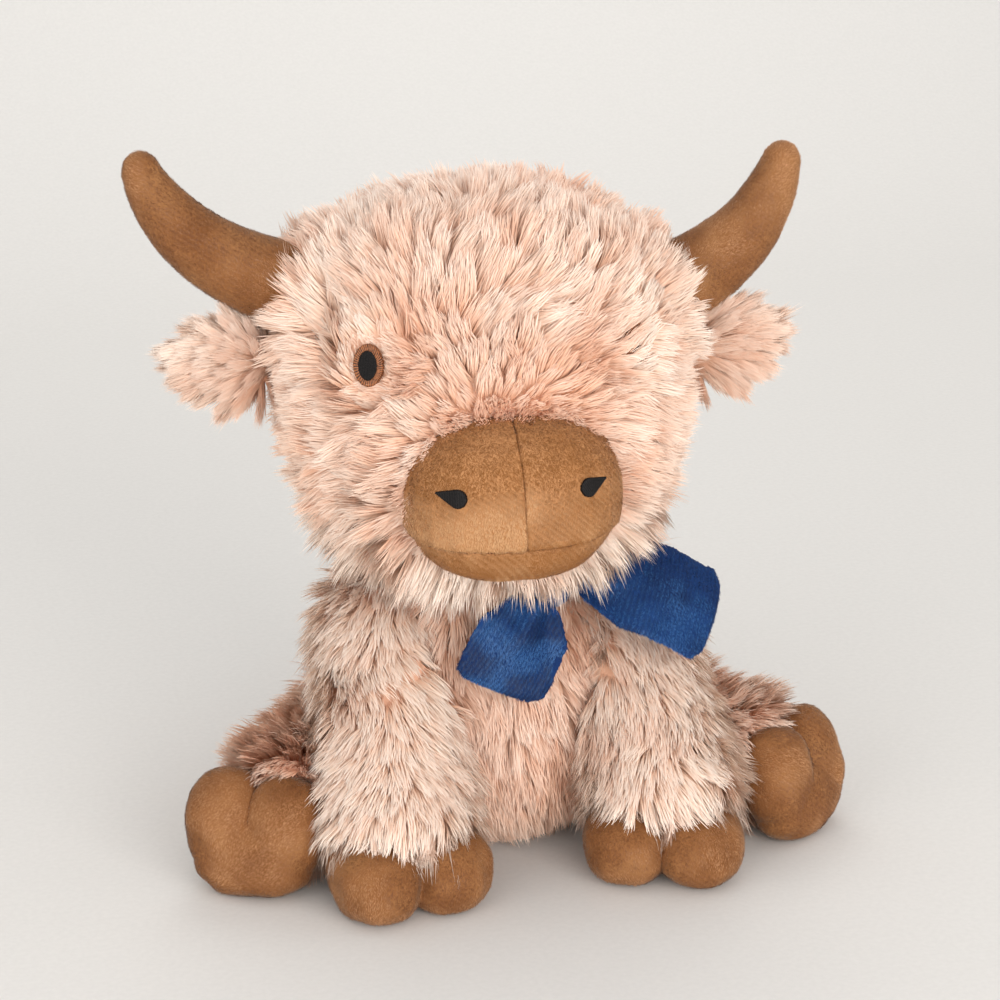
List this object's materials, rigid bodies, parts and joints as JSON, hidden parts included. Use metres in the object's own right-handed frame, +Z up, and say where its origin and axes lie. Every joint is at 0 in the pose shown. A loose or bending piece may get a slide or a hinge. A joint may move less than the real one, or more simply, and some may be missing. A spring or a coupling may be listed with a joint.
{
  "type": "sitting plush cow",
  "caption": "Sitting long-pile plush cow with sewn horns, a short-pile snout, split hooves and a tied neck scarf.",
  "frame": {"origin": "on the floor, at the middle of the box round the whole toy", "axes": "+Z up, -Y the way the cow faces, +X its own left side"},
  "size_m": [0.2377, 0.2041, 0.2406],
  "materials": {
    "fur": "long pile plush",
    "filling": "polyester fibre",
    "velour": "short pile velour",
    "scarf": "ribbed velour",
    "brown_thread": "satin stitch",
    "black_thread": "satin stitch"
  },
  "bodies": {
    "torso": {"body_cover": "fur", "body_filling": "filling", "scarf_band": "scarf", "scarf_knot": "scarf"},
    "head": {"head_cover": "fur", "head_filling": "filling", "muzzle_panel_left": "velour", "muzzle_panel_right": "velour", "lip_panel": "velour", "nostril_left": "black_thread", "nostril_right": "black_thread", "eye_ring_left": "brown_thread", "eye_middle_left": "black_thread", "eye_ring_right": "brown_thread", "eye_middle_right": "black_thread", "horn_left": "velour", "horn_right": "velour"},
    "ear_left": {"ear_left": "fur"},
    "ear_right": {"ear_right": "fur"},
    "front_leg_left": {"front_leg_left": "fur", "front_hoof_left": "velour"},
    "front_leg_right": {"front_leg_right": "fur", "front_hoof_right": "velour"},
    "hind_leg_left": {"hind_leg_left": "fur", "hind_hoof_left": "velour"},
    "hind_leg_right": {"hind_leg_right": "fur", "hind_hoof_right": "velour"},
    "tail": {"tail": "fur", "tail_tuft": "fur"},
    "scarf_end_front": {"scarf_end_front": "scarf"},
    "scarf_end_side": {"scarf_end_side": "scarf"}
  },
  "joints": [
    {"name": "neck_turn", "type": "hinge", "parent": "torso", "child": "head", "pos_m": [-0.00011, -0.00568, 0.112], "axis": [0, 0, 1], "range_deg": [-20, 20], "stiffness_Nm_per_rad": 0.6},
    {"name": "ear_left_swing", "type": "hinge", "parent": "head", "child": "ear_left", "pos_m": [0.06845, -0.0244, 0.16743], "axis": [-0.0349, 0, 0.9994], "range_deg": [-25, 25], "stiffness_Nm_per_rad": 0.02},
    {"name": "ear_right_swing", "type": "hinge", "parent": "head", "child": "ear_right", "pos_m": [-0.0748, -0.01087, 0.17043], "axis": [-0.0349, 0, 0.9994], "range_deg": [-25, 25], "stiffness_Nm_per_rad": 0.02},
    {"name": "front_leg_left_lift", "type": "hinge", "parent": "torso", "child": "front_leg_left", "pos_m": [0.04299, -0.01368, 0.0755], "axis": [-1, 0, 0], "range_deg": [0, 14], "stiffness_Nm_per_rad": 1},
    {"name": "front_leg_right_lift", "type": "hinge", "parent": "torso", "child": "front_leg_right", "pos_m": [-0.03501, -0.01368, 0.0755], "axis": [-1, 0, 0], "range_deg": [0, 14], "stiffness_Nm_per_rad": 1},
    {"name": "hind_leg_left_swing", "type": "hinge", "parent": "torso", "child": "hind_leg_left", "pos_m": [0.03699, 0.00632, 0.029], "axis": [0, 0, 1], "range_deg": [0, 15], "stiffness_Nm_per_rad": 0.6},
    {"name": "hind_leg_right_swing", "type": "hinge", "parent": "torso", "child": "hind_leg_right", "pos_m": [-0.03501, 0.00632, 0.029], "axis": [0, 0, -1], "range_deg": [0, 15], "stiffness_Nm_per_rad": 0.6},
    {"name": "tail_swing", "type": "hinge", "parent": "torso", "child": "tail", "pos_m": [0.00099, 0.05661, 0.03], "axis": [0, 0, 1], "range_deg": [-30, 30], "stiffness_Nm_per_rad": 0.02},
    {"name": "scarf_front_lift", "type": "hinge", "parent": "torso", "child": "scarf_end_front", "pos_m": [0.00538, -0.05508, 0.09724], "axis": [-0.9, 0, 0.436], "range_deg": [0, 40], "stiffness_Nm_per_rad": 0.02},
    {"name": "scarf_side_lift", "type": "hinge", "parent": "torso", "child": "scarf_end_side", "pos_m": [0.02261, -0.05137, 0.10457], "axis": [-0.4073, -0.5624, -0.7195], "range_deg": [0, 30], "stiffness_Nm_per_rad": 0.02}
  ]
}
